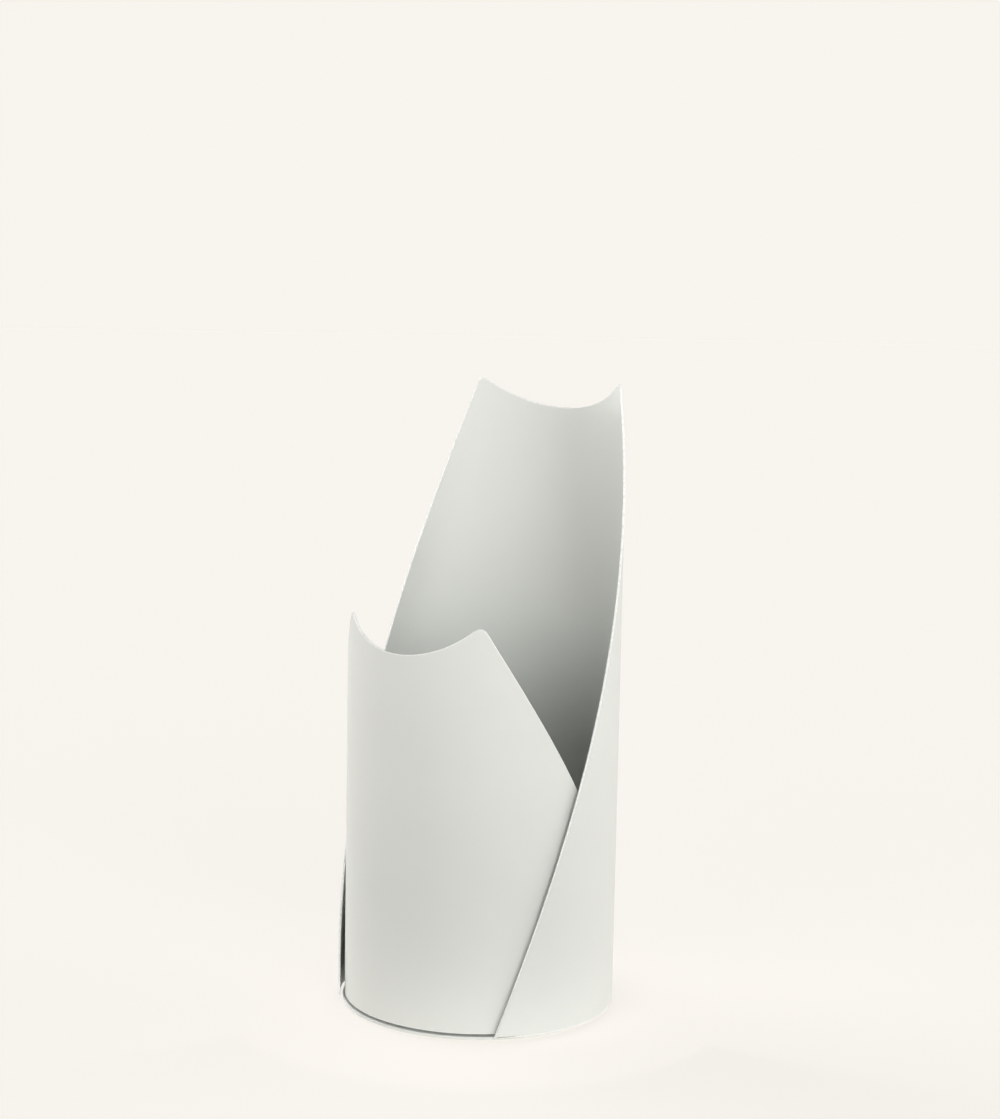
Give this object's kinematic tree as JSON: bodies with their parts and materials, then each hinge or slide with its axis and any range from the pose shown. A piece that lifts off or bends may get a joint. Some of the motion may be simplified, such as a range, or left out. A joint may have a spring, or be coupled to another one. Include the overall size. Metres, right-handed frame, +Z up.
{
  "type": "umbrella stand",
  "caption": "Umbrella stand of a low and a tall rolled sheet, nested with slanted crossing edges, on a round base plate with a lift-out drip tray.",
  "frame": {"origin": "axis of the rolled sheets at floor level, under the middle of the round base", "axes": "+Z up along the sheets' axis, -Y towards the front where the low sheet stands, +X towards the right-hand side of someone who stands in front of the stand and looks at it along +Y"},
  "size_m": [0.27, 0.2654, 0.6045],
  "materials": {
    "powder_coat": "satin off-white powder coat on steel",
    "zinc": "zinc-plated steel",
    "nylon": "natural nylon",
    "rubber": "matt black rubber",
    "tray_plastic": "dark grey moulded polypropylene, fine grain"
  },
  "bodies": {
    "stand": {"back_shell": "powder_coat", "front_shell": "powder_coat", "base_plate": "powder_coat", "bracket_front": "powder_coat", "bracket_right": "powder_coat", "bracket_left": "powder_coat", "bracket_back_right": "powder_coat", "bracket_back_left": "powder_coat", "shell_bosses": "powder_coat", "foot_front_right": "rubber", "foot_front_left": "rubber", "foot_back_right": "rubber", "foot_back_left": "rubber", "base_screws": "zinc", "weld_nuts": "zinc", "shell_screws": "zinc", "base_washers": "nylon"},
    "tray": {"drip_tray": "tray_plastic"}
  },
  "joints": [
    {"name": "tray_lift", "type": "slide", "parent": "stand", "child": "tray", "axis": [0, 0, 1], "range_m": [0, 0.62]}
  ]
}
